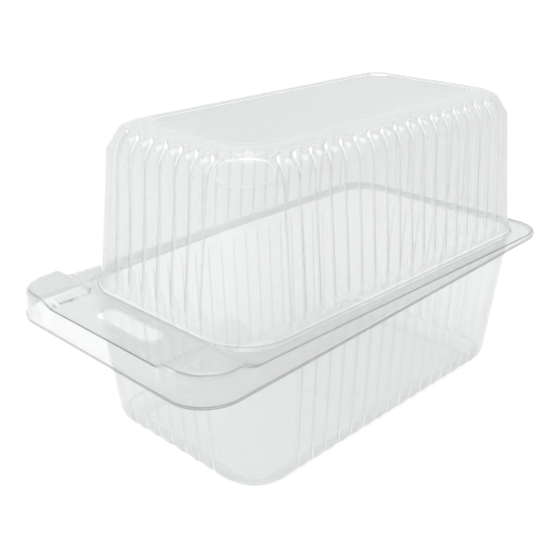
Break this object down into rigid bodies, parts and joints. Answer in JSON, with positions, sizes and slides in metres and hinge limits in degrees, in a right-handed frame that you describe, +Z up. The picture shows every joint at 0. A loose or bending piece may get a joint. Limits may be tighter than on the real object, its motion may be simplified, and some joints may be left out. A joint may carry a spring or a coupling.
{
  "type": "hinged cake container",
  "caption": "Clear thermoformed clamshell for a long cake: fluted tub with a handle flange and slot, and a fluted dome lid on a living hinge along one end.",
  "frame": {"origin": "middle of the trim outline's box, on the tray's resting face", "axes": "+Z up, +X to the right across the width, -Y towards the handle end, +Y towards the hinge end"},
  "size_m": [0.145, 0.27, 0.1655],
  "materials": {
    "tray_sheet": "clear glossy PET sheet",
    "lid_sheet": "clear glossy PET sheet"
  },
  "bodies": {
    "tray": {"base_tray": "tray_sheet"},
    "lid": {"hinged_lid": "lid_sheet"}
  },
  "joints": [
    {"name": "lid_hinge", "type": "hinge", "parent": "tray", "child": "lid", "pos_m": [0, 0.13515, 0.08275], "axis": [-1, 0, 0], "range_deg": [0, 180]}
  ]
}
